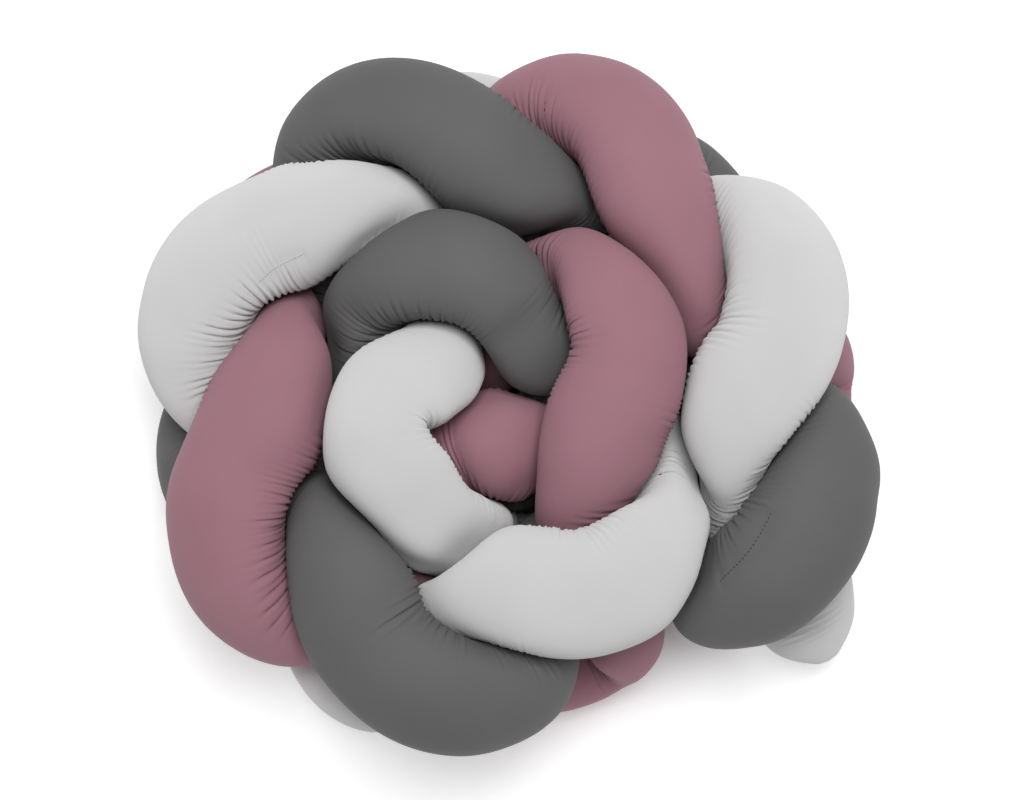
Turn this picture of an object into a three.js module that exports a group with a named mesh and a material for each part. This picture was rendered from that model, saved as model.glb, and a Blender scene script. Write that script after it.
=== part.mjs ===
// A braided crib bumper: three stuffed cloth tubes plaited together, and the
// plait stood on its edge and rolled up like a tape. Millimetres, +Z up, with
// the origin on the floor under the middle of the roll.
import * as THREE from "three";

// Driving dimensions.
const TUBE_DIAMETER = 104; // one stuffed tube, where nothing presses on it
const PLAIT_RISE = 56; // how far a tube swings up and down from the plait's middle
const MIDDLE_HEIGHT = 104; // the plait's middle line above the floor
const INNER_SWAY = 42; // how far a covered tube lies towards the roll's middle
const OUTER_SWAY = 20; // and how far it lies away from it
const PRESSED = 0.64; // share of the diameter left between two tubes that cross
const CLOTH_GAP = 2; // between the faces of tubes that touch
const END_RADIUS = 15; // a gathered tube end
const END_TAPER = 95; // the length over which an end draws in

// The lobes on top of the roll, from its outer end to its inner one: where each
// comes up from under the lobe before it, where it is highest, where it dives
// under the lobe after it, and how far it lies above the others.
const TOP_LOBES = [
  { up: [175, -160], top: [210, -145], down: [225, -85], lift: 0 }, // dark grey
  { up: [192, -70], top: [215, 28], down: [205, 105], lift: 8 }, // light grey
  { up: [150, 80], top: [105, 165], down: [60, 220], lift: 0 }, // pink
  { up: [30, 175], top: [-55, 200], down: [-145, 175], lift: 0 }, // dark grey
  { up: [-130, 160], top: [-202, 118], down: [-245, 65], lift: 0 }, // light grey
  { up: [-193, 40], top: [-215, -60], down: [-219, -115], lift: 0 }, // pink
  { up: [-155, -125], top: [-115, -200], down: [-30, -230], lift: 0 }, // dark grey
  { up: [-34, -181], top: [53, -176], down: [114, -130], lift: 16 }, // light grey
  { up: [74, -70], top: [92, 21], down: [68, 89], lift: 16 }, // pink
  { up: [-5, 58], top: [-52, 86], down: [-114, 78], lift: 16 }, // dark grey
  { up: [-64, 20], top: [-112, -41], down: [-78, -110], lift: 26 }, // light grey
  { up: [-45, -45], top: [-15, -45], down: [30, -45], lift: -30 }, // pink
];
// The low lobes that bulge out under the roll, each between two upper ones.
const LOW_LOBES = [
  { step: 0.5, at: [230, 25] }, // pink
  { step: 1.5, at: [135, 190] }, // dark grey
  { step: 2.5, at: [-45, 245] }, // light grey
  { step: 4.5, at: [-250, -30] }, // dark grey
  { step: 5.5, at: [-140, -165] }, // light grey
  { step: 6.5, at: [65, -190] }, // pink
];
// The tubes: the first top lobe of each, and where its gathered ends lie.
const TUBES = [
  {
    name: "tube_dark_grey",
    colour: 0x646464,
    firstTop: 0,
    start: { step: -0.8, at: [150, -170], height: 85 },
    end: { step: 11.3, at: [40, -70], height: 60 },
  },
  {
    name: "tube_light_grey",
    colour: 0xd0d0d0,
    firstTop: 1,
    start: { step: -0.5, at: [268, -216], height: 46 },
    end: { step: 10.9, at: [-10, -60], height: 30 },
  },
  {
    name: "tube_pink",
    colour: 0xa07a85,
    firstTop: 2,
    start: { step: -0.3, at: [165, -155], height: 70 },
    end: { step: 11.7, at: [70, -55], height: 90 },
  },
];
const CLOTH_ROUGHNESS = 0.8;

// How finely the tubes are drawn.
const RING_SPACING = 18;
const RING_POINTS = 20;
const CURVE_POINTS = 100; // from each of a tube's places to the next
const CLOSE_POINTS = 4; // of a middle line per ring, to find neighbours by
const POLE_REACH = 0.4; // ring spacings from the last ring to the gathered point

// How the tubes settle against each other and the floor, per round.
const SETTLE_ROUNDS = 500;
const TENSION = 0.08; // draws a line straight
const STIFFNESS = 0.05; // evens its bends out
const SINK = 0.1; // its weight
const HOLD = 0.3; // keeps a lobe at its place in plan
const HOLD_HEIGHT = 0.1; // and near its height
const PUSH = 0.12; // parts tubes that press too hard
const LYING_HEIGHT = 0.9; // of its radius, where a tube lies on the floor
const OWN_TURNS_APART = 1.8; // diameters along a tube before it can meet itself

// How the cloth swells, per round.
const SWELL_ROUNDS = 60;
const GIRTH = 0.985; // share of the full girth that the gathers leave
const WIDEST = 1.2; // of the radius
const TIGHTEST_FOLD = 0.8; // of the way to where a bend's rings meet, on its hollow side
const THINNEST = 2;
const ROUNDNESS = 0.5; // draws a ring round
const EVENNESS = 0.2; // and like the rings beside it
const GIRTH_GAIN = 0.3; // how fast it takes up its girth
const NEIGHBOUR_REACH = 3; // radii from a ring to the lines that can press it
const THICKER_TAKES = 0.9; // of the difference, where a thick part meets a thin one
const PART_ROUNDS = 30;
const OWN_RINGS_APART = 5; // rings along a tube before its cloth can meet itself
const OWN_RINGS_BESIDE = 3; // rings along a tube that never press on each other

const TUBE_RADIUS = TUBE_DIAMETER / 2;
const TUBE_COUNT = TUBES.length;
const HALF_STEP = 0.5;

// The height of a tube's middle line at a step: it comes to the top at every
// third step, and lowest midway between.
function plaitHeight(tube, step) {
  const turn = ((step - tube.firstTop) * 2 * Math.PI) / TUBE_COUNT;
  return MIDDLE_HEIGHT + PLAIT_RISE * Math.cos(turn);
}

// The plait's middle line in plan, through the tops of its lobes.
const spine = new THREE.CatmullRomCurve3(
  TOP_LOBES.map(({ top }) => new THREE.Vector3(top[0], top[1], 0)),
);

// A place beside the middle line at a step, counted towards the roll's middle.
function beside(step, inward) {
  const share = step / (TOP_LOBES.length - 1);
  const ahead = spine.getTangent(share);
  const middle = spine.getPoint(share);
  return [middle.x - ahead.y * inward, middle.y + ahead.x * inward];
}

// The places that a tube goes through. On top it follows its lobe. Under the
// next lobe it crosses to the inner face of the plait, then it is lowest, and
// under the lobe after that it crosses to the outer face.
function waypoints(tube) {
  const stops = [];
  const add = (step, [x, y], z) => stops.push({ step, place: new THREE.Vector3(x, y, z) });
  const addLow = (step) => {
    const shown = LOW_LOBES.find((low) => low.step === step);
    add(step, shown ? shown.at : beside(step, 0), plaitHeight(tube, step));
  };
  TOP_LOBES.forEach((lobe, step) => {
    const turn = (step - tube.firstTop + TUBE_COUNT) % TUBE_COUNT;
    if (turn === 0) {
      const sideHeight = plaitHeight(tube, step - HALF_STEP) + lobe.lift;
      add(step - HALF_STEP, lobe.up, sideHeight);
      add(step, lobe.top, plaitHeight(tube, step) + lobe.lift);
      add(step + HALF_STEP, lobe.down, sideHeight);
    } else if (turn === 1) {
      add(step, beside(step, INNER_SWAY), plaitHeight(tube, step));
      addLow(step + HALF_STEP);
    } else {
      add(step, beside(step, -OUTER_SWAY), plaitHeight(tube, step));
    }
  });
  const { start, end } = tube;
  const between = stops.filter(({ step }) => step > start.step && step < end.step);
  between.sort((a, b) => a.step - b.step);
  const ends = [start, end].map(({ at, height }) => new THREE.Vector3(at[0], at[1], height));
  return [ends[0], ...between.map(({ place }) => place), ends[1]];
}

// The radius to which a tube is stuffed at a distance from its nearer end.
function stuffedRadius(distance) {
  const share = Math.min(distance / END_TAPER, 1);
  return END_RADIUS + (TUBE_RADIUS - END_RADIUS) * Math.sqrt(1 - (1 - share) ** 2);
}

// A tube's middle line as evenly spaced points, with the radius at each, and
// the points that are held at the tube's places.
function makeStrand(tube) {
  const places = waypoints(tube);
  const curve = new THREE.CatmullRomCurve3(places, false, "centripetal");
  const divisions = (places.length - 1) * CURVE_POINTS;
  curve.arcLengthDivisions = divisions;
  const lengths = curve.getLengths();
  const length = lengths[divisions];
  const last = Math.round(length / RING_SPACING);
  const points = curve.getSpacedPoints(last);
  const radii = points.map((_, i) => stuffedRadius(Math.min(i, last - i) * RING_SPACING));
  const holds = places.map((place, n) => {
    const along = lengths[(n * divisions) / (places.length - 1)] / length;
    return { point: points[Math.round(along * last)], place };
  });
  return { tube, points, radii, holds };
}

// Draws a line straighter and its bends more even.
function relax(points) {
  const old = points.map((point) => point.clone());
  const middleOf = (a, b, from) => a.clone().add(b).multiplyScalar(0.5).sub(from);
  for (let i = 1; i + 1 < points.length; i++) {
    const near = middleOf(old[i - 1], old[i + 1], old[i]);
    points[i].addScaledVector(near, TENSION);
    if (i > 1 && i + 2 < points.length) {
      const far = middleOf(old[i - 2], old[i + 2], old[i]);
      points[i].addScaledVector(near.multiplyScalar(4).sub(far), STIFFNESS);
    }
  }
}

// Lets the lines sink, hold their places and push each other apart.
function settle(strands) {
  const knots = strands.flatMap((strand) =>
    strand.points.map((point, i) => ({ point, strand, i, radius: strand.radii[i] })),
  );
  const alongApart = (OWN_TURNS_APART * TUBE_DIAMETER) / RING_SPACING;
  const away = new THREE.Vector3();
  for (let round = 0; round < SETTLE_ROUNDS; round++) {
    for (const { points, radii, holds } of strands) {
      relax(points);
      points.forEach((point, i) => {
        point.z = Math.max(point.z - SINK, radii[i] * LYING_HEIGHT);
      });
      for (const { point, place } of holds) {
        point.x += HOLD * (place.x - point.x);
        point.y += HOLD * (place.y - point.y);
        point.z += HOLD_HEIGHT * (place.z - point.z);
      }
    }
    for (let a = 0; a < knots.length; a++) {
      for (let b = a + 1; b < knots.length; b++) {
        const one = knots[a];
        const two = knots[b];
        if (one.strand === two.strand && two.i - one.i < alongApart) continue;
        const reach = PRESSED * (one.radius + two.radius);
        away.subVectors(one.point, two.point);
        const apart = away.length();
        if (apart >= reach) continue;
        away.multiplyScalar((PUSH * (reach - apart)) / apart);
        one.point.add(away);
        two.point.sub(away);
      }
    }
  }
}

// Frames that follow a line without twisting.
function framesAlong(points) {
  const normal = new THREE.Vector3(0, 0, 1);
  return points.map((at, i) => {
    const before = points[Math.max(i - 1, 0)];
    const after = points[Math.min(i + 1, points.length - 1)];
    const along = after.clone().sub(before).normalize();
    normal.addScaledVector(along, -normal.dot(along)).normalize();
    return { at, along, normal: normal.clone(), side: along.clone().cross(normal) };
  });
}

// The tubes' middle lines as close points, each with the cloth's radius there.
function closePoints(strands) {
  const shares = Array.from({ length: CLOSE_POINTS }, (_, k) => k / CLOSE_POINTS);
  return strands.flatMap((strand) =>
    strand.points.slice(1).flatMap((to, i) =>
      shares.map((share) => ({
        at: strand.points[i].clone().lerp(to, share),
        radius: strand.radii[i],
        strand,
        i,
      })),
    ),
  );
}

// The ring of cloth around each point of a line: the directions of its points,
// and how far each may go before it meets the face halfway to another tube or
// to the tube's own next turn, its own fold in a bend, or the floor.
function makeRings(strand, others) {
  const { points, radii } = strand;
  const frames = framesAlong(points);
  const toward = new THREE.Vector3();
  return points.map((centre, i) => {
    const { normal, side } = frames[i];
    const firstOwn = Math.max(i - OWN_RINGS_APART, 0);
    const own = frames.slice(firstOwn, i + OWN_RINGS_APART + 1).filter(({ at }) => at !== centre);
    const near = others.filter((other) => {
      const ownCloth = other.strand === strand && Math.abs(other.i - i) < OWN_RINGS_BESIDE;
      return !ownCloth && other.at.distanceTo(centre) < NEIGHBOUR_REACH * TUBE_RADIUS;
    });
    return Array.from({ length: RING_POINTS }, (_, j) => {
      const angle = (2 * Math.PI * j) / RING_POINTS;
      const out = normal.clone().multiplyScalar(Math.cos(angle));
      out.addScaledVector(side, Math.sin(angle));
      let limit = WIDEST * radii[i];
      if (out.z < 0) limit = Math.min(limit, centre.z / -out.z);
      for (const { at, along } of own) {
        const fold = toward.subVectors(at, centre).dot(along) / out.dot(along);
        if (fold > 0) limit = Math.min(limit, TIGHTEST_FOLD * fold);
      }
      for (const { at, radius } of near) {
        toward.subVectors(at, centre);
        const spare = CLOTH_GAP + THICKER_TAKES * (radius - radii[i]);
        const facing = spare + out.dot(toward);
        if (facing <= 0) continue;
        const halfway = (toward.lengthSq() - spare * spare) / (2 * facing);
        limit = Math.min(limit, halfway);
      }
      return { out, limit: Math.max(limit, THINNEST), radius: 0 };
    });
  });
}

// The place of one point of a ring.
function spot(strand, i, j) {
  const { out, radius } = strand.rings[i][(j + RING_POINTS) % RING_POINTS];
  return strand.points[i].clone().addScaledVector(out, radius);
}

// Lets each ring swell to the girth of its cloth inside its limits.
function swell(strand) {
  const { rings, radii } = strand;
  const extra = rings.map(() => 0);
  rings.forEach((ring, i) => {
    for (const point of ring) point.radius = Math.min(radii[i], point.limit);
  });
  for (let round = 0; round < SWELL_ROUNDS; round++) {
    const next = rings.map((ring, i) =>
      ring.map((point, j) => {
        const around = spot(strand, i, j - 1).add(spot(strand, i, j + 1)).multiplyScalar(0.5);
        const tighter = around.sub(spot(strand, i, j)).dot(point.out);
        const before = rings[Math.max(i - 1, 0)][j].radius;
        const after = rings[Math.min(i + 1, rings.length - 1)][j].radius;
        const smoother = (before + after) / 2 - point.radius;
        const shaped = point.radius + ROUNDNESS * tighter + EVENNESS * smoother;
        return Math.max(Math.min(shaped + extra[i], point.limit), THINNEST);
      }),
    );
    rings.forEach((ring, i) => {
      ring.forEach((point, j) => {
        point.radius = next[i][j];
      });
      let girth = 0;
      for (let j = 0; j < RING_POINTS; j++) {
        girth += spot(strand, i, j).distanceTo(spot(strand, i, j + 1));
      }
      extra[i] += (GIRTH_GAIN * (GIRTH * 2 * Math.PI * radii[i] - girth)) / (2 * Math.PI);
    });
  }
}

// The four ring points at the corners of one patch of a tube's cloth.
function patchOf({ rings }, i, j) {
  const next = (j + 1) % RING_POINTS;
  return [rings[i][j], rings[i][next], rings[i + 1][j], rings[i + 1][next]];
}

// How deep a place lies inside a stretch of a tube's cloth and the gap around
// it, and the patch of cloth that faces it.
function depthIn(strand, from, to, place) {
  const offset = new THREE.Vector3();
  const link = new THREE.Vector3();
  const deepest = { depth: 0, patch: [] };
  for (let i = Math.max(from, 0); i < to; i++) {
    link.subVectors(strand.points[i + 1], strand.points[i]);
    offset.subVectors(place, strand.points[i]);
    const share = Math.min(Math.max(offset.dot(link) / link.lengthSq(), 0), 1);
    offset.addScaledVector(link, -share);
    const distance = offset.length();
    if (distance > WIDEST * TUBE_RADIUS + CLOTH_GAP) continue;
    const ring = strand.rings[i];
    const turn = Math.atan2(offset.dot(ring[RING_POINTS / 4].out), offset.dot(ring[0].out));
    const around = ((turn / (2 * Math.PI) + 1) * RING_POINTS) % RING_POINTS;
    const j = Math.floor(around);
    const patch = patchOf(strand, i, j);
    const [near, nearNext, far, farNext] = patch.map(({ radius }) => radius);
    const nearRadius = near + (around - j) * (nearNext - near);
    const farRadius = far + (around - j) * (farNext - far);
    const depth = nearRadius + share * (farRadius - nearRadius) + CLOTH_GAP - distance;
    if (depth > deepest.depth) Object.assign(deepest, { depth, patch });
  }
  return deepest;
}

// Draws one patch of a tube's cloth back from whatever cloth it still meets.
function partPatch(strand, i, j, strands) {
  const own = patchOf(strand, i, j);
  const corner = spot(strand, i, j);
  const middle = spot(strand, i, j + 1).add(spot(strand, i + 1, j));
  middle.add(spot(strand, i + 1, j + 1)).add(corner).divideScalar(4);
  for (const other of strands) {
    const last = other.points.length - 1;
    const before = [0, i - OWN_RINGS_APART];
    const after = [i + OWN_RINGS_APART, last];
    for (const [from, to] of other === strand ? [before, after] : [[0, last]]) {
      for (const place of [corner, middle]) {
        const { depth, patch } = depthIn(other, from, to, place);
        if (depth <= 0) continue;
        for (const point of [...own, ...patch]) {
          point.radius = Math.max(point.radius - depth / own.length, THINNEST);
        }
      }
    }
  }
}

// Draws back all cloth that still meets other cloth, a little each round.
function partCloth(strands) {
  for (let round = 0; round < PART_ROUNDS; round++) {
    for (const strand of strands) {
      for (let i = 0; i + 1 < strand.rings.length; i++) {
        for (let j = 0; j < RING_POINTS; j++) partPatch(strand, i, j, strands);
      }
    }
  }
}

// The closed skin over a tube's rings, with a gathered point at each end.
function skin(strand) {
  const { points, rings } = strand;
  const last = rings.length - 1;
  const vertices = [];
  const push = ({ x, y, z }) => vertices.push(x, y, Math.max(z, 0));
  rings.forEach((ring, i) => ring.forEach((_, j) => push(spot(strand, i, j))));
  const firstPole = rings.length * RING_POINTS;
  push(points[0].clone().lerp(points[1], -POLE_REACH));
  push(points[last].clone().lerp(points[last - 1], -POLE_REACH));
  const faces = [];
  for (let j = 0; j < RING_POINTS; j++) {
    const next = (j + 1) % RING_POINTS;
    faces.push(firstPole, next, j);
    for (let i = 0; i < last; i++) {
      const here = i * RING_POINTS;
      const there = here + RING_POINTS;
      faces.push(here + j, here + next, there + j);
      faces.push(here + next, there + next, there + j);
    }
    faces.push(firstPole + 1, last * RING_POINTS + j, last * RING_POINTS + next);
  }
  const geometry = new THREE.BufferGeometry();
  geometry.setAttribute("position", new THREE.Float32BufferAttribute(vertices, 3));
  geometry.setIndex(faces);
  geometry.computeVertexNormals();
  return geometry;
}

const strands = TUBES.map(makeStrand);
settle(strands);
const others = closePoints(strands);
for (const strand of strands) {
  strand.rings = makeRings(strand, others);
  swell(strand);
}
partCloth(strands);

const bumper = new THREE.Group();
for (const strand of strands) {
  const { name, colour } = strand.tube;
  const cloth = { color: colour, roughness: CLOTH_ROUGHNESS, metalness: 0 };
  const mesh = new THREE.Mesh(skin(strand), new THREE.MeshStandardMaterial(cloth));
  mesh.name = name;
  bumper.add(mesh);
}
const middle = new THREE.Box3().setFromObject(bumper).getCenter(new THREE.Vector3());
for (const { geometry } of bumper.children) geometry.translate(-middle.x, -middle.y, 0);
export default bumper;
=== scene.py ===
import math

import bmesh
import bpy
import numpy as np
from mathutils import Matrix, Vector
from mathutils.bvhtree import BVHTree


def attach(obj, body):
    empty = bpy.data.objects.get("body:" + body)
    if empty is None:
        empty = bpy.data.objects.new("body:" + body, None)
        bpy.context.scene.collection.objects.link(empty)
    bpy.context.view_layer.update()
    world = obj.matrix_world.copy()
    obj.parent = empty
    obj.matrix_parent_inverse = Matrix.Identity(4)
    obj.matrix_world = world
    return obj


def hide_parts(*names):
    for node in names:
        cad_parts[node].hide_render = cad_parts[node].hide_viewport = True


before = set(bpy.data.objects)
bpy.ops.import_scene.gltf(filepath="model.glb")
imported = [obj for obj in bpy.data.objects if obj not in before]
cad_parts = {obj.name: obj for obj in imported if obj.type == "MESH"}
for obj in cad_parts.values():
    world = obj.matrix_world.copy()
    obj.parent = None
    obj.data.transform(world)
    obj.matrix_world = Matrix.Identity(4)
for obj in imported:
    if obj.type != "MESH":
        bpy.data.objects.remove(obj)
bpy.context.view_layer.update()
print("stage: frame loaded")

mm = 0.001

# View

camera = {
    "target": (0.004, -0.004, 0.11),
    "azimuth": 0,
    "elevation": 80,
    "distance": 1.9,
    "metresPerPixel": 0.000848,  # at the target
    "imageWidth": 1024,  # in pixels
    "sensorWidth": 36,
}


def placeCamera(view):
    turn, rise = math.radians(view["azimuth"]), math.radians(view["elevation"])
    back = Vector((math.sin(turn) * math.cos(rise), -math.cos(turn) * math.cos(rise), math.sin(rise)))
    data = bpy.data.cameras.new("camera")
    seenWidth = view["imageWidth"] * view["metresPerPixel"]
    data.sensor_width = view["sensorWidth"]
    data.lens = view["sensorWidth"] * view["distance"] / seenWidth
    piece = bpy.data.objects.new("camera", data)
    piece.location = Vector(view["target"]) + back * view["distance"]
    piece.rotation_euler = back.to_track_quat("Z", "Y").to_euler()
    bpy.context.scene.collection.objects.link(piece)
    bpy.context.scene.camera = piece


placeCamera(camera)

# Materials


def linear(hexColour):
    shares = [int(hexColour[i : i + 2], 16) / 255 for i in (1, 3, 5)]
    return tuple(c / 12.92 if c <= 0.04045 else ((c + 0.055) / 1.055) ** 2.4 for c in shares) + (1,)


def addNode(tree, kind, settings=None, links=None):
    node = tree.nodes.new(kind)
    for name, value in (settings or {}).items():
        if name in node.inputs:
            node.inputs[name].default_value = value
        else:
            setattr(node, name, value)
    for name, socket in (links or {}).items():
        tree.links.new(socket, node.inputs[name])
    return node


def newMaterial(name):
    material = bpy.data.materials.new(name)
    material.use_nodes = True
    return material, material.node_tree.nodes["Principled BSDF"]


# Cotton sateen: a smooth, close weave, so the light falls off softly on its
# slopes, with next to no shine and a faint bloom at grazing angles.
cotton = {
    "roughness": 0.7,
    "sheen": 0.04,
    "sheenRoughness": 0.5,
    "shine": 0.15,
    "dyeScale": 14,  # patches of about 70 mm
    "dyeDetail": 3,
    # real threads lie about 0.3 mm apart: six times as coarse here, so that they show
    "threadSpacing": 1.78 * mm,
    "waveTurns": 20,  # radians that a wave texture turns in one unit
    "threadWander": 0.4,
    "threadHeight": 0.1 * mm,
    "weaveStrength": 0.15,
}


def cottonSateen(name, look):
    material, shader = newMaterial(name)
    tree = material.node_tree
    shader.inputs["Roughness"].default_value = cotton["roughness"]
    shader.inputs["Diffuse Roughness"].default_value = look["nap"]
    shader.inputs["Sheen Weight"].default_value = cotton["sheen"]
    shader.inputs["Sheen Roughness"].default_value = cotton["sheenRoughness"]
    shader.inputs["Specular IOR Level"].default_value = cotton["shine"]
    place = addNode(tree, "ShaderNodeTexCoord")
    # broad, faint unevenness of the dye
    dye = addNode(
        tree,
        "ShaderNodeTexNoise",
        {"Scale": cotton["dyeScale"], "Detail": cotton["dyeDetail"]},
        {"Vector": place.outputs["Object"]},
    )
    colour = addNode(tree, "ShaderNodeMix", {"data_type": "RGBA"}, {"Factor": dye.outputs["Fac"]})
    # a mix node's colours are its seventh and eighth inputs and its third output
    colour.inputs[6].default_value = linear(look["deep"])
    colour.inputs[7].default_value = linear(look["pale"])
    tree.links.new(colour.outputs[2], shader.inputs["Base Color"])
    weave = addNode(tree, "ShaderNodeMath", {"operation": "MULTIPLY"})
    for socket, direction in zip(weave.inputs, "XY"):
        threads = addNode(
            tree,
            "ShaderNodeTexWave",
            {
                "wave_type": "BANDS",
                "bands_direction": direction,
                "Scale": math.tau / (cotton["waveTurns"] * cotton["threadSpacing"]),
                "Distortion": cotton["threadWander"],
            },
            {"Vector": place.outputs["UV"]},
        )
        tree.links.new(threads.outputs["Fac"], socket)
    bump = addNode(
        tree,
        "ShaderNodeBump",
        {"Strength": cotton["weaveStrength"], "Distance": cotton["threadHeight"]},
        {"Height": weave.outputs[0]},
    )
    tree.links.new(bump.outputs["Normal"], shader.inputs["Normal"])
    return material


# Tubes

ringPoints = 20  # round each ring of a packed tube
weldWithin = 0.02 * mm

# deep and pale: the dye where it took most and least. nap: how much the fibres
# that stand up even out the light.
tubes = [
    {
        "node": "tube_dark_grey",
        "slot": "cloth_dark_grey",
        "name": "darkGreyTube",
        "seed": 11,
        "look": {"deep": "#606061", "pale": "#69696a", "nap": 0.12},
    },
    {
        "node": "tube_light_grey",
        "slot": "cloth_light_grey",
        "name": "lightGreyTube",
        "seed": 23,
        "look": {"deep": "#cbcbcb", "pale": "#d4d4d4", "nap": 0.7},
    },
    {
        "node": "tube_pink",
        "slot": "cloth_pink",
        "name": "pinkTube",
        "seed": 37,
        "look": {"deep": "#9b707b", "pale": "#a57a86", "nap": 0.25},
    },
]

cloth = {
    "pointsPerRing": 64,  # round a tube
    "stepsPerRing": 11,  # between two packed rings
    "rounds": 260,
    "looseness": 0.6,  # most extra length, as a share
    "ease": 0.92,  # below 1, the cloth is stretched on all but the hollow sides
    "drawnIn": 0.52,  # extra length against a neighbour, none from besideWithin on
    "besideWithin": 42 * mm,
    "outerTension": 4,  # takes those gathers off the outer side of a bend
    "slackMost": 1.3,  # and adds at most this much of them on the hollow side
    "patchRows": 9,  # rows of points in one patch of the random unevenness
    "patchesRound": 14,
    "patchContrast": 7,
    "patchMean": 0.9,  # times the extra length
    "patchMost": 2.4,
    "evenShare": 0.35,  # of the extra length, whatever the patch
    "plainRows": 10,  # at each end, without extra length
    "heldRows": 4,  # at each end, that stay put
    "pressure": 0.035 * mm,  # per round, from the stuffing
    "stretch": 0.9,  # how much of a thread's wrong length a round takes away
    "shear": 0.15,  # the same across the threads
    "hold": 0.02,  # how firmly the stuffing keeps its shape
    "bending": 0.004,  # along the tube, at the typical spacing of rows
    "typicalSpacing": 1.64 * mm,
    "bendingLeast": 0.003,
    "bendingMost": 0.06,
    "evenness": 0.1,  # round the tube, which draws gathers out across it
    "crumpling": 0.25,  # how well the cloth withstands being pushed together round the tube
    "seedRipple": 0.3 * mm,  # a random start for the gathers
    "rippleRounds": 6,  # that smooth it round the tube
    "deepest": 6 * mm,
    "gap": 0.3 * mm,
    "around": 314 * mm,  # round a tube, for the weave
}


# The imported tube's rings of points, from one gathered end to the other.
def ringsOf(node):
    shape = bmesh.new()
    shape.from_mesh(node.data)
    bmesh.ops.remove_doubles(shape, verts=shape.verts, dist=weldWithin)
    shape.verts.index_update()
    near = {v: {e.other_vert(v) for e in v.link_edges} for v in shape.verts}
    poles = sorted((v for v in shape.verts if len(near[v]) == ringPoints), key=lambda v: v.index)
    pole = poles[0]
    ring = [min(near[pole], key=lambda v: v.index)]
    while len(ring) < ringPoints:
        beyond = (near[ring[-1]] & near[pole]).difference(ring)
        ring.append(min(beyond, key=lambda v: v.index))
    rings, seen = [], {pole}
    while True:
        rings.append([tuple(v.co) for v in ring])
        seen.update(ring)
        outer = {v for w in ring for v in near[w]} - seen
        if len(outer) < ringPoints:
            break
        pairs = zip(ring, ring[1:] + ring[:1])
        following = [next(iter(near[a] & near[b] & outer)) for a, b in pairs]
        # the ring may start one place on: keep the start that turns least
        turns = [following, following[-1:] + following[:-1]]
        ring = min(turns, key=lambda t: sum((a.co - b.co).length_squared for a, b in zip(t, ring)))
    ends = [tuple(pole.co), tuple(next(iter(outer)).co)]
    shape.free()
    first, last = (np.repeat([[end]], ringPoints, axis=1) for end in ends)
    # each pole counts twice, so that the spline reaches out to it
    return np.concatenate([first, first, np.array(rings), last, last])


# Cubic B-spline weights that draw samples from a row of points.
def splineWeights(points, samples, closed):
    span = points if closed else points - 3
    at = np.arange(samples) * span / (samples if closed else samples - 1)
    cell = np.minimum(np.floor(at).astype(int), span - 1)
    t = at - cell
    shares = [(1 - t) ** 3, 3 * t**3 - 6 * t**2 + 4, -3 * t**3 + 3 * t**2 + 3 * t + 1, t**3]
    weights = np.zeros((samples, points))
    for k, share in enumerate(shares):
        weights[np.arange(samples), (cell + k) % points] += share / 6
    return weights


def resample(rings, alongCount, aroundCount):
    along = splineWeights(len(rings), alongCount, False)
    around = splineWeights(rings.shape[1], aroundCount, True)
    return np.einsum("ai,bj,ijk->abk", along, around, rings)


def facesOf(rows, columns):
    i, j = np.meshgrid(np.arange(rows - 1), np.arange(columns), indexing="ij")
    nextColumn = (j + 1) % columns
    return np.stack(
        [i * columns + j, i * columns + nextColumn, (i + 1) * columns + nextColumn, (i + 1) * columns + j], -1
    ).reshape(-1, 4)


def lengthOf(vectors):
    return np.linalg.norm(vectors, axis=-1, keepdims=True)


def normalsOf(grid):
    along = np.gradient(grid, axis=0)
    around = np.roll(grid, -1, 1) - np.roll(grid, 1, 1)
    normal = np.cross(around, along)
    return normal / np.maximum(lengthOf(normal), 1e-12)


# The rays that look for room: how far they reach, how far inside the tube they
# start towards another one, how far outside it towards the tube itself, and how
# far down a point has to face for the floor to count.
rays = {"far": 20 * mm, "inside": 5 * mm, "outside": 0.4 * mm, "downwards": -0.01}


# How far each point may move outwards before it meets a tube or the floor, and
# how near the closest other tube is.
def freedomOf(grids, index):
    grid = grids[index]
    normals = normalsOf(grid)
    trees = []
    for other in grids:
        faces = facesOf(*other.shape[:2])
        trees.append(BVHTree.FromPolygons(other.reshape(-1, 3).tolist(), faces.tolist()))
    free = np.full(grid.shape[:2], rays["far"])
    beside = np.full(grid.shape[:2], cloth["besideWithin"])
    for i in range(grid.shape[0]):
        for j in range(grid.shape[1]):
            place, normal = Vector(grid[i, j]), Vector(normals[i, j])
            if normal.z < rays["downwards"]:
                free[i, j] = min(free[i, j], place.z / -normal.z)
            for k, tree in enumerate(trees):
                if k != index:
                    near = tree.find_nearest(place, cloth["besideWithin"])
                    beside[i, j] = min(beside[i, j], near[3] or cloth["besideWithin"])
                start = rays["outside"] if k == index else -rays["inside"]
                hit = tree.ray_cast(place + normal * start, normal, rays["far"])
                if hit[0] is not None:
                    free[i, j] = min(free[i, j], (hit[3] + start) / 2)
    return free - cloth["gap"] / 2, beside


# Moves two sets of points together or apart by a share of what is wrong with
# their distance. Below 1, pushed lets them lie closer than their rest length.
def pullTo(a, b, rest, share, pushed=1):
    link = b - a
    length = np.maximum(lengthOf(link), 1e-9)
    over = length - rest
    move = link * (share * 0.5 * np.where(over > 0, over, over * pushed) / length)
    a += move
    b -= move


# A smooth random field, about 1 on average, over the tube's points.
def unevenness(rows, columns, chance):
    # a spline needs three patches more than the rows they span
    coarse = chance.random((rows // cloth["patchRows"] + 4, cloth["patchesRound"]))
    field = splineWeights(len(coarse), rows, False) @ coarse
    field = field @ splineWeights(cloth["patchesRound"], columns, True).T
    field = (field - 0.5) * cloth["patchContrast"] + cloth["patchMean"]
    return np.clip(field, 0, cloth["patchMost"])[..., None]


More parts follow.
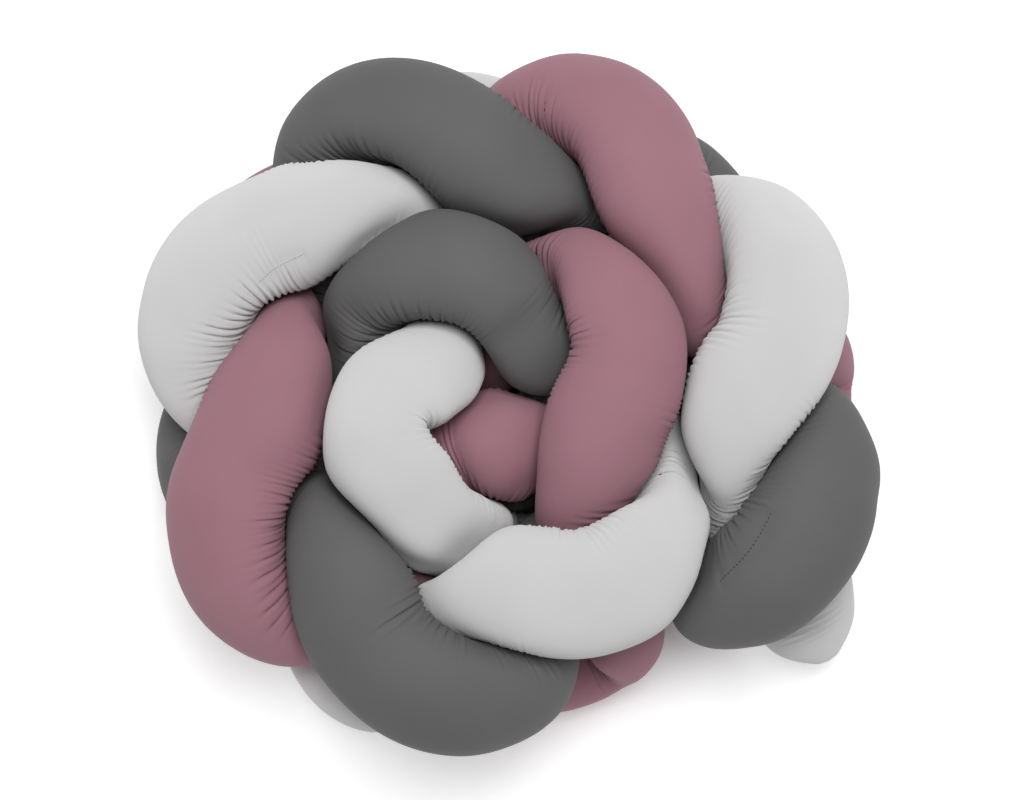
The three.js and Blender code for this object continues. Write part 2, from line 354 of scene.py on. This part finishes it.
# Cloth that is sewn straight has too much length on the hollow side of a bend.
# The rounds let it take up that length as gathers, under the stuffing's
# pressure, without leaving the room that the neighbours and the floor give.
def gatherCloth(base, free, beside, seed):
    rows, columns = base.shape[:2]
    normals = normalsOf(base)
    along = base[1:] - base[:-1]
    around = np.roll(base, -1, 1) - base
    middle = base.mean(1)
    straight = np.linalg.norm(middle[1:] - middle[:-1], axis=-1)[:, None, None]
    chance = np.random.default_rng(seed)
    spacing = np.maximum(lengthOf(along), 1e-9)
    bent = cloth["ease"] * straight / spacing - 1
    pressed = (1 - beside / cloth["besideWithin"])[1:, :, None]
    uneven = unevenness(rows - 1, columns, chance)
    slack = np.clip(1 + cloth["outerTension"] * (straight / spacing - 1), 0, cloth["slackMost"])
    patchy = cloth["evenShare"] + (1 - cloth["evenShare"]) * uneven
    loose = (np.maximum(bent, 0) + cloth["drawnIn"] * pressed * slack) * patchy
    loose = np.clip(loose, 0, cloth["looseness"])
    loose[: cloth["plainRows"]] = loose[-cloth["plainRows"] :] = 0
    restAlong = spacing * (1 + loose)
    # rows that lie closer resist bending more, by the fourth power of their spacing
    stiffness = cloth["bending"] * (cloth["typicalSpacing"] / spacing) ** 4
    stiffness = np.clip(stiffness, cloth["bendingLeast"], cloth["bendingMost"])[1:-1]
    stiffness = (stiffness[:-1] + stiffness[1:]) / 2
    restAround = lengthOf(around)
    across = [
        lengthOf(along * (1 + loose) + around[1:]),
        lengthOf(np.roll(along, -1, 1) * (1 + loose) - around[:-1]),
    ]
    ripple = chance.standard_normal((rows, columns))
    for _ in range(cloth["rippleRounds"]):
        ripple = (ripple + np.roll(ripple, 1, 1) + np.roll(ripple, -1, 1)) / 3
    ripple /= ripple.std()
    points = base + normals * (ripple * cloth["seedRipple"])[..., None]
    for _ in range(cloth["rounds"]):
        points += normals * cloth["pressure"]
        for first in (0, 1):
            count = (rows - first) // 2
            a, b = points[first : first + 2 * count : 2], points[first + 1 : first + 2 * count : 2]
            pullTo(a, b, restAlong[first : first + 2 * count - 1 : 2], cloth["stretch"])
        for first in (0, 1):
            a, b = points[:, first::2], np.roll(points, -1, 1)[:, first::2]
            pullTo(a, b, restAround[:, first::2], cloth["stretch"], cloth["crumpling"])
            points[:, (np.arange(first, columns, 2) + 1) % columns] = b
        # the two diagonals of each square of cloth
        for rest, shift in ((across[0], -1), (across[1], 1)):
            a = points[:-1] if shift < 0 else np.roll(points[:-1], -1, 1)
            b = np.roll(points[1:], -1, 1) if shift < 0 else points[1:]
            link = b - a
            length = np.maximum(lengthOf(link), 1e-9)
            move = link * (cloth["shear"] * (length - rest) / length)
            points[:-1] += move if shift < 0 else np.roll(move, 1, 1)
            points[1:] -= np.roll(move, 1, 1) if shift < 0 else move
        off = points - base
        bend = off[2:] + off[:-2] - 2 * off[1:-1]
        off[2:-2] -= stiffness * (bend[2:] + bend[:-2] - 2 * bend[1:-1])
        off += cloth["evenness"] * ((np.roll(off, 1, 1) + np.roll(off, -1, 1)) / 2 - off)
        off *= 1 - cloth["hold"]
        out = (off * normals).sum(-1)
        over = out - np.clip(out, -cloth["deepest"], free)
        off -= normals * over[..., None]
        points = base + off
        held = cloth["heldRows"]
        points[:held], points[-held:] = base[:held], base[-held:]
    return points


# Seams that show: short closings, sewn by machine through the stuffed cloth.
seams = [
    {
        "tube": "darkGreyTube",
        "name": "darkGreyClosing",
        "from": (0.1665, -0.1628, 0.1905),
        "to": (0.209, -0.1145, 0.2114),
        "pitch": 3.4 * mm,
        "stitch": 1.9 * mm,
        "thread": 0.5 * mm,
        "colour": "#2c2c2e",
        "drawnIn": 1.2 * mm,
    },
    {
        "tube": "lightGreyTube",
        "name": "lightGreyClosing",
        "from": (-0.1991, 0.0733, 0.2048),
        "to": (-0.164, 0.0966, 0.219),
        "pitch": 2.6 * mm,
        "stitch": 1.7 * mm,
        "thread": 0.3 * mm,
        "colour": "#8a8a8a",
        "drawnIn": 0.9 * mm,
    },
]


stitching = {
    "drawnPoints": 100,  # along a seam, where the cloth is drawn in
    "linePoints": 40,  # along the line that carries the stitches
    "roughness": 0.6,  # of polyester thread
    "segments": 8,  # of one stitch
    "rings": 6,
}


# A seam's rows and columns on its tube's grid, from end to end.
def seamRoute(grid, seam, count):
    places = grid.reshape(-1, 3)
    nearest = [((places - np.array(seam[end])) ** 2).sum(1).argmin() for end in ("from", "to")]
    (rowA, columnA), (rowB, columnB) = (divmod(int(at), grid.shape[1]) for at in nearest)
    half = grid.shape[1] / 2
    turn = (columnB - columnA + half) % grid.shape[1] - half
    share = np.linspace(0, 1, count)
    return rowA + share * (rowB - rowA), columnA + share * turn


def placeOn(grid, row, column):
    i, j = np.floor(row).astype(int), np.floor(column).astype(int)
    s, t = (row - i)[:, None], (column - j)[:, None]
    here, following = j % grid.shape[1], (j + 1) % grid.shape[1]
    near = grid[i, here] * (1 - t) + grid[i, following] * t
    far = grid[i + 1, here] * (1 - t) + grid[i + 1, following] * t
    return near * (1 - s) + far * s


# Stitches spaced along a line, each a ball drawn out along it.
def stitchTree(material):
    tree = bpy.data.node_groups.new("stitchesAlong", "GeometryNodeTree")
    tree.interface.new_socket("Line", in_out="INPUT", socket_type="NodeSocketGeometry")
    for name in ("Pitch", "Stitch Length", "Thread Radius"):
        tree.interface.new_socket(name, in_out="INPUT", socket_type="NodeSocketFloat")
    tree.interface.new_socket("Stitches", in_out="OUTPUT", socket_type="NodeSocketGeometry")
    given = addNode(tree, "NodeGroupInput")
    curve = addNode(tree, "GeometryNodeMeshToCurve", None, {"Mesh": given.outputs["Line"]})
    spaced = addNode(
        tree,
        "GeometryNodeResampleCurve",
        {"mode": "LENGTH"},
        {"Curve": curve.outputs[0], "Length": given.outputs["Pitch"]},
    )
    size = addNode(
        tree,
        "ShaderNodeCombineXYZ",
        None,
        {
            "X": given.outputs["Thread Radius"],
            "Y": given.outputs["Thread Radius"],
            "Z": given.outputs["Stitch Length"],
        },
    )
    ball = addNode(
        tree,
        "GeometryNodeMeshUVSphere",
        {"Segments": stitching["segments"], "Rings": stitching["rings"], "Radius": 1.0},
    )
    along = addNode(tree, "GeometryNodeInputTangent")
    facing = addNode(tree, "FunctionNodeAlignRotationToVector", {"axis": "Z"}, {"Vector": along.outputs[0]})
    stitches = addNode(
        tree,
        "GeometryNodeInstanceOnPoints",
        None,
        {
            "Points": spaced.outputs[0],
            "Instance": ball.outputs["Mesh"],
            "Rotation": facing.outputs[0],
            "Scale": size.outputs[0],
        },
    )
    real = addNode(tree, "GeometryNodeRealizeInstances", None, {"Geometry": stitches.outputs[0]})
    dressed = addNode(tree, "GeometryNodeSetMaterial", {"Material": material}, {"Geometry": real.outputs[0]})
    result = addNode(tree, "NodeGroupOutput")
    tree.links.new(dressed.outputs[0], result.inputs[0])
    return tree


def stitchesOn(seam, grid, final):
    row, column = seamRoute(grid, seam, stitching["linePoints"])
    line = placeOn(final, row, column)
    data = bpy.data.meshes.new(seam["name"])
    data.from_pydata(line.tolist(), [(i, i + 1) for i in range(len(line) - 1)], [])
    piece = bpy.data.objects.new(seam["name"], data)
    bpy.context.scene.collection.objects.link(piece)
    material, shader = newMaterial(seam["name"] + "Thread")
    shader.inputs["Base Color"].default_value = linear(seam["colour"])
    shader.inputs["Roughness"].default_value = stitching["roughness"]
    group = stitchTree(material)
    modifier = piece.modifiers.new("stitches", "NODES")
    modifier.node_group = group
    # the ball's radius is 1, so half a stitch is what it is drawn out by
    sizes = {
        "Pitch": seam["pitch"],
        "Stitch Length": seam["stitch"] / 2,
        "Thread Radius": seam["thread"],
    }
    for item in group.interface.items_tree:
        if item.name in sizes:
            modifier[item.identifier] = sizes[item.name]
    made = bpy.data.meshes.new_from_object(piece.evaluated_get(bpy.context.evaluated_depsgraph_get()))
    piece.modifiers.clear()
    piece.data = made
    made.shade_smooth()
    return piece


def tubeMesh(name, grid, material):
    rows, columns = grid.shape[:2]
    data = bpy.data.meshes.new(name)
    # the first and last rows are the gathered poles, closed to one point each
    inner = grid[1:-1].reshape(-1, 3)
    poles = [grid[0].mean(0), grid[-1].mean(0)]
    faces = [tuple(face) for face in facesOf(rows - 2, columns)]
    first, last = len(inner), len(inner) + 1
    foot = (rows - 3) * columns
    for j in range(columns):
        following = (j + 1) % columns
        faces.append((first, following, j))
        faces.append((last, foot + j, foot + following))
    data.from_pydata(np.concatenate([inner, poles]).tolist(), [], faces)
    data.materials.append(material)
    data.shade_smooth()
    # the cloth's own measures in metres: along the tube, then round it
    steps = np.linalg.norm(np.diff(grid.mean(1), axis=0), axis=1)
    alongPlace = np.concatenate([[0], np.cumsum(steps)])
    uv = data.uv_layers.new(name="cloth")
    corners = np.zeros((len(data.loops), 2))
    vertex = np.zeros(len(data.loops), int)
    data.loops.foreach_get("vertex_index", vertex)
    row = np.where(vertex < first, vertex // columns + 1, np.where(vertex == first, 0, rows - 1))
    column = np.where(vertex < first, vertex % columns, 0)
    corners[:, 0] = alongPlace[row]
    corners[:, 1] = column / columns * cloth["around"]
    # the last strip runs on past the whole way round
    starts = np.zeros(len(data.polygons), int)
    totals = np.zeros(len(data.polygons), int)
    data.polygons.foreach_get("loop_start", starts)
    data.polygons.foreach_get("loop_total", totals)
    face = np.repeat(np.arange(len(totals)), totals)
    widest = np.zeros(len(totals))
    np.maximum.at(widest, face, column)
    wraps = (widest[face] == columns - 1) & (column == 0)
    corners[wraps, 1] = cloth["around"]
    uv.data.foreach_set("uv", corners.reshape(-1))
    piece = bpy.data.objects.new(name, data)
    bpy.context.scene.collection.objects.link(piece)
    # outwards
    shape = bmesh.new()
    shape.from_mesh(data)
    if shape.calc_volume(signed=True) < 0:
        bmesh.ops.reverse_faces(shape, faces=shape.faces)
        shape.to_mesh(data)
    shape.free()
    return piece


grids = []
for tube in tubes:
    rings = ringsOf(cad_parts[tube["node"]])
    rowCount = (len(rings) - 3) * cloth["stepsPerRing"] + 1
    grid = resample(rings, rowCount, cloth["pointsPerRing"])
    # turn the order round the tube so that its normals point outwards
    middle = grid.mean(1, keepdims=True)
    if ((grid - middle) * normalsOf(grid)).sum() < 0:
        grid = grid[:, ::-1]
    grids.append(grid)
    print("stage:", tube["name"], "laid over", len(rings), "rings")

for index, tube in enumerate(tubes):
    grid = laid = grids[index]
    ownSeams = [seam for seam in seams if seam["tube"] == tube["name"]]
    free, beside = freedomOf(grids, index)
    for seam in ownSeams:
        row, column = seamRoute(grid, seam, stitching["drawnPoints"])
        at = np.round(row).astype(int), np.round(column).astype(int) % grid.shape[1]
        free[at] = -seam["drawnIn"]
    print("stage:", tube["name"], "room found")
    grid = gatherCloth(grid, free, beside, tube["seed"])
    print("stage:", tube["name"], "gathered")
    piece = tubeMesh(tube["name"], grid, cottonSateen(tube["name"] + "Cotton", tube["look"]))
    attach(piece, "root")
    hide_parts(tube["node"])
    for seam in ownSeams:
        stitches = stitchesOn(seam, laid, grid)
        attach(stitches, "root")
        print("stage:", seam["name"], "stitched")

# Studio

studio = {
    "floor": "#f4f4f4",
    "floorHalf": 4,
    "floorRoughness": 0.9,
    "floorPaintedLight": 0.36,  # painted light: the paper glows, though it is no lamp, and so stays white round the roll; none gets under it, which leaves a painted shadow round the roll
    "paintedLightFrom": 0.21,  # from the middle of the roll: the painted light rises from here to the next distance, and the floor inside is left in painted shadow
    "paintedLightTo": 0.31,
    "sky": 0.36,
    "keySize": 1.5,
    "keyPower": 61,
    "keyPlace": (0.15, 0.4, 2.95),
}


def paleFloor():
    data = bpy.data.meshes.new("floor")
    half = studio["floorHalf"]
    corners = [(-half, -half, 0), (half, -half, 0), (half, half, 0), (-half, half, 0)]
    data.from_pydata(corners, [], [(0, 1, 2, 3)])
    # matt white background paper that glows as painted light, with none of it near the roll, so that a
    # painted shadow is left round it
    material, shader = newMaterial("paperFloorPaintedLight")
    tree = material.node_tree
    shader.inputs["Roughness"].default_value = studio["floorRoughness"]
    shader.inputs["Base Color"].default_value = linear(studio["floor"])
    shader.inputs["Emission Color"].default_value = (1, 1, 1, 1)
    place = addNode(tree, "ShaderNodeTexCoord")
    away = addNode(tree, "ShaderNodeVectorMath", {"operation": "LENGTH"}, {"Vector": place.outputs["Object"]})
    # painted light and painted shadow on the floor: no emission near the roll, full emission further out
    paintedFloorLight = addNode(
        tree,
        "ShaderNodeMapRange",
        {
            "interpolation_type": "SMOOTHSTEP",
            "From Min": studio["paintedLightFrom"],
            "From Max": studio["paintedLightTo"],
            "To Max": studio["floorPaintedLight"],
        },
        {"Value": away.outputs["Value"]},
    )
    tree.links.new(paintedFloorLight.outputs["Result"], shader.inputs["Emission Strength"])
    data.materials.append(material)
    piece = bpy.data.objects.new("floor", data)
    bpy.context.scene.collection.objects.link(piece)


def softLight(name, place, size, power):
    data = bpy.data.lights.new(name, "AREA")
    data.size = size
    data.energy = power
    piece = bpy.data.objects.new(name, data)
    piece.location = place
    piece.rotation_euler = Vector(place).to_track_quat("Z", "Y").to_euler()
    bpy.context.scene.collection.objects.link(piece)


paleFloor()
softLight("keyLight", studio["keyPlace"], studio["keySize"], studio["keyPower"])
world = bpy.data.worlds.new("studioSky")
world.use_nodes = True
sky = world.node_tree.nodes["Background"]
sky.inputs["Color"].default_value = (1, 1, 1, 1)
sky.inputs["Strength"].default_value = studio["sky"]
bpy.context.scene.world = world
bpy.context.scene.view_settings.view_transform = "Standard"
